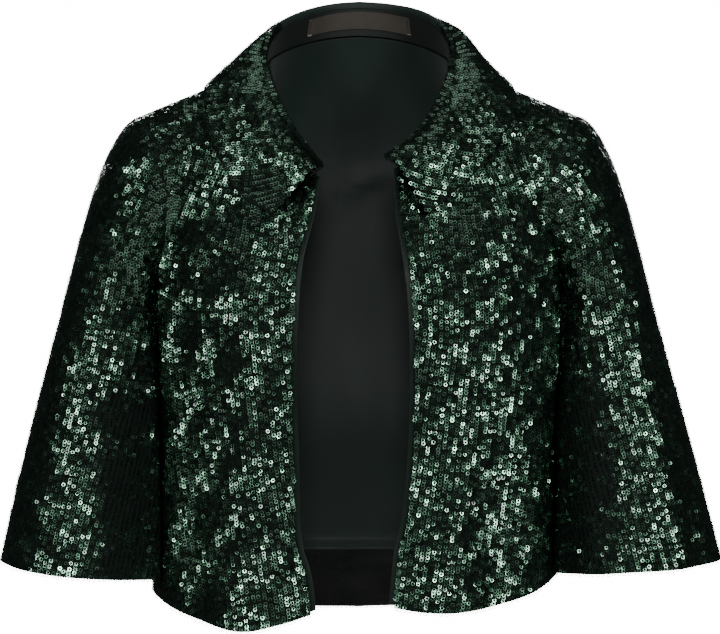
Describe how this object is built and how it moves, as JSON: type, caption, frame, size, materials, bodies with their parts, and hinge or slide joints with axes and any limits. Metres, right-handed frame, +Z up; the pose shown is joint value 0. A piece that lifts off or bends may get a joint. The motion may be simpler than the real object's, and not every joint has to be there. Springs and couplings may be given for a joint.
{
  "type": "cropped open-front blazer jacket",
  "caption": "Cropped open-front blazer jacket in sequinned cloth, worn shape, with turn-down collar, flared three-quarter sleeves and satin back lining; hollow, open at neck, hem and cuffs.",
  "frame": {"origin": "midway between the two high shoulder points, where the wearer's neck and shoulders carry the jacket", "axes": "+Z up, +X to the wearer's left, the front faces -Y"},
  "size_m": [0.6504, 0.2393, 0.5687],
  "materials": {
    "sequin_cloth": "dark green mesh covered with small cupped sequins sewn in rows",
    "satin": "smooth dark green satin with a soft sheen",
    "label_tape": "brown woven tape, bare"
  },
  "bodies": {
    "root": {"front_left": "sequin_cloth", "front_right": "sequin_cloth", "back": "sequin_cloth", "sleeve_left": "sequin_cloth", "sleeve_right": "sequin_cloth", "collar_fall": "sequin_cloth", "collar_stand": "satin", "lining_back": "satin", "facing_left": "satin", "facing_right": "satin", "label": "label_tape"}
  },
  "joints": []
}
